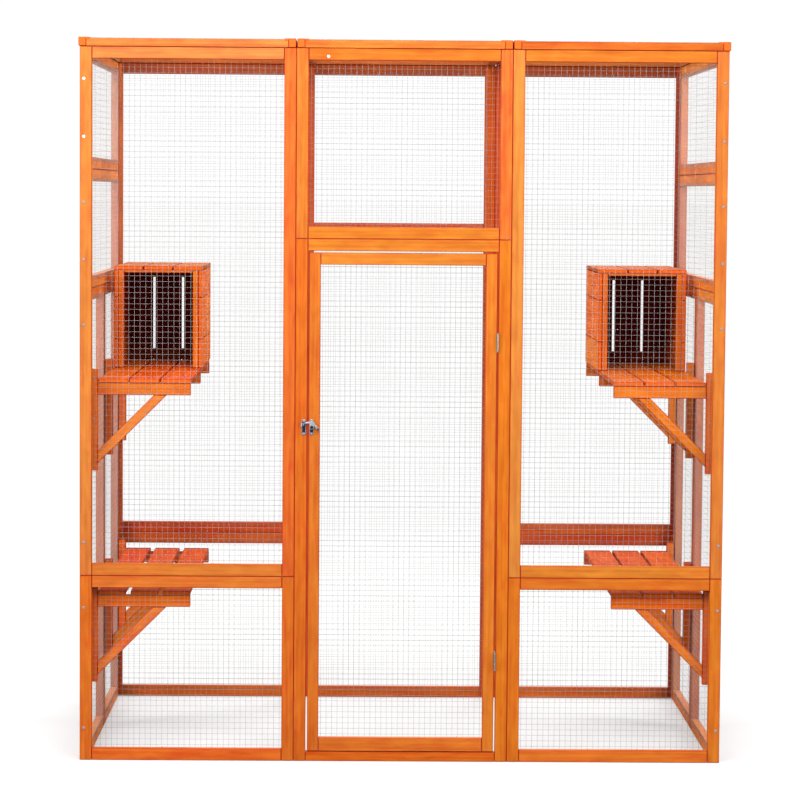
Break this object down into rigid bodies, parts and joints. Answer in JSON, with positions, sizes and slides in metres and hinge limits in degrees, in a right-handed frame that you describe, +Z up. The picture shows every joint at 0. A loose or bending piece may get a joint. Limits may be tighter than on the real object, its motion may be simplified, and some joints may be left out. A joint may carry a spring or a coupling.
{
  "type": "cat enclosure",
  "caption": "Timber-framed outdoor cat enclosure with wire net walls and roof, a hinged latched front door, plank shelves on brackets and box houses.",
  "frame": {"origin": "on the ground, at the middle of the outer bounds", "axes": "+X to the right seen from the front, +Y from the front (door) to the back, +Z up"},
  "size_m": [1.614, 0.9934, 1.8043],
  "materials": {
    "cage_timber": "orange-brown stained softwood",
    "door_timber": "paler orange-brown stained softwood",
    "back_timber": "orange-brown stained softwood",
    "plank_timber": "orange-brown stained planks",
    "house_timber": "orange-brown stained boards",
    "net_wire": "galvanised wire",
    "hinge_steel": "zinc-plated steel",
    "latch_steel": "zinc-plated steel"
  },
  "bodies": {
    "cage": {"front_left_upper_frame": "cage_timber", "front_left_lower_frame": "cage_timber", "front_right_upper_frame": "cage_timber", "front_right_lower_frame": "cage_timber", "transom_frame": "cage_timber", "doorway_frame": "cage_timber", "back_left_upper_frame": "back_timber", "back_left_lower_frame": "back_timber", "back_right_upper_frame": "back_timber", "back_right_lower_frame": "back_timber", "back_transom_frame": "back_timber", "back_centre_frame": "back_timber", "left_top_frame": "cage_timber", "left_middle_frame": "cage_timber", "left_front_frame": "cage_timber", "left_rear_frame": "cage_timber", "right_top_frame": "cage_timber", "right_middle_frame": "cage_timber", "right_front_frame": "cage_timber", "right_rear_frame": "cage_timber", "roof_left_frame": "cage_timber", "roof_centre_frame": "cage_timber", "roof_right_frame": "cage_timber", "front_left_net": "net_wire", "front_right_net": "net_wire", "transom_net": "net_wire", "back_left_net": "net_wire", "back_centre_net": "net_wire", "back_right_net": "net_wire", "left_side_net": "net_wire", "right_side_net": "net_wire", "roof_net": "net_wire", "upper_left_shelf": "plank_timber", "upper_left_brackets": "cage_timber", "upper_right_shelf": "plank_timber", "upper_right_brackets": "cage_timber", "lower_left_shelf": "plank_timber", "lower_left_brackets": "cage_timber", "lower_right_shelf": "plank_timber", "lower_right_brackets": "cage_timber", "left_house_front": "house_timber", "left_house_sides": "house_timber", "left_house_back": "house_timber", "left_house_roof": "house_timber", "right_house_front": "house_timber", "right_house_sides": "house_timber", "right_house_back": "house_timber", "right_house_roof": "house_timber", "hinge_frame_leaves": "hinge_steel", "hinge_pins": "hinge_steel", "latch_keeper": "latch_steel"},
    "door": {"door_frame": "door_timber", "door_net": "net_wire", "hinge_door_leaves": "hinge_steel", "latch_plate": "latch_steel"},
    "hook": {"latch_hook": "latch_steel"}
  },
  "joints": [
    {"name": "door_swing", "type": "hinge", "parent": "cage", "child": "door", "pos_m": [0.2358, -0.48875, 0.65], "axis": [0, 0, 1], "range_deg": [0, 165]},
    {"name": "latch_turn", "type": "hinge", "parent": "door", "child": "hook", "pos_m": [-0.2263, -0.49075, 0.841], "axis": [0, 1, 0], "range_deg": [0, 75]}
  ]
}
